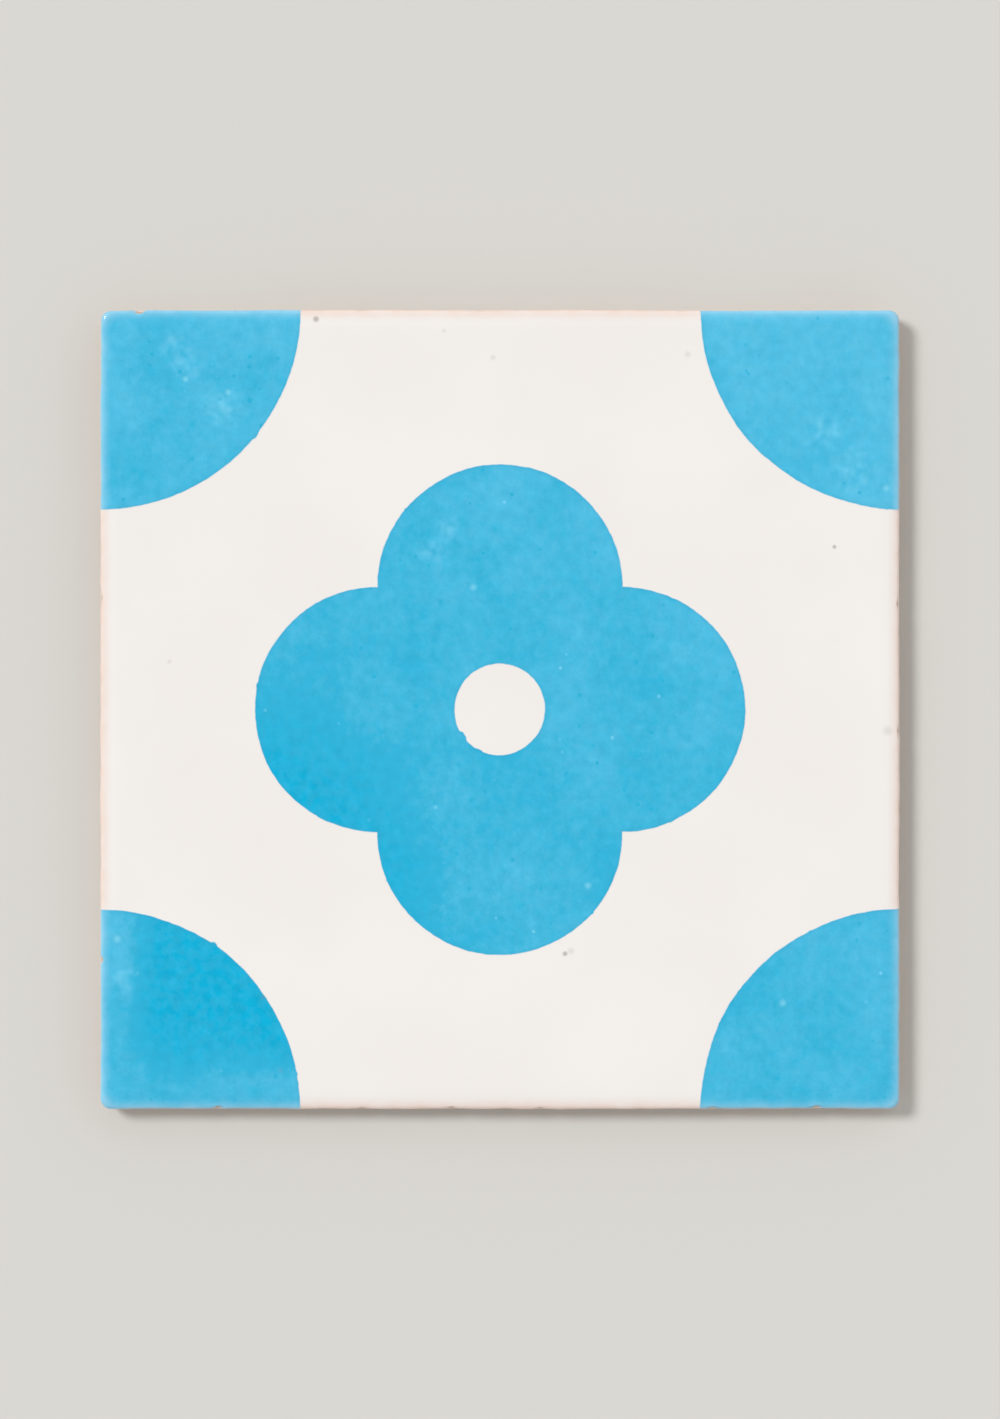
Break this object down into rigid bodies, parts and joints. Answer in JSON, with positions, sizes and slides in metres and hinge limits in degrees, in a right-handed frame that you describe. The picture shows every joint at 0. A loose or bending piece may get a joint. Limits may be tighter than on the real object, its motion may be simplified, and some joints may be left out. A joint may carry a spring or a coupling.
{
  "type": "azulejo tile",
  "caption": "Square glazed earthenware wall tile: cushion-edged glossy white face with a cyan-blue stencilled pattern, upright side lands and a keyed back of shallow square pockets.",
  "frame": {"origin": "middle of the bedding plane, the plane of the rib tops on the keyed back", "axes": "+Z out of the glazed face; X and Y along the sides"},
  "size_m": [0.15, 0.15, 0.006],
  "materials": {
    "glazed_earthenware": "glossy opaque white glaze with a fired cyan-blue stencilled pattern; bare pinkish biscuit on the skirt and back"
  },
  "bodies": {
    "root": {"azulejo_tile": "glazed_earthenware"}
  },
  "joints": []
}
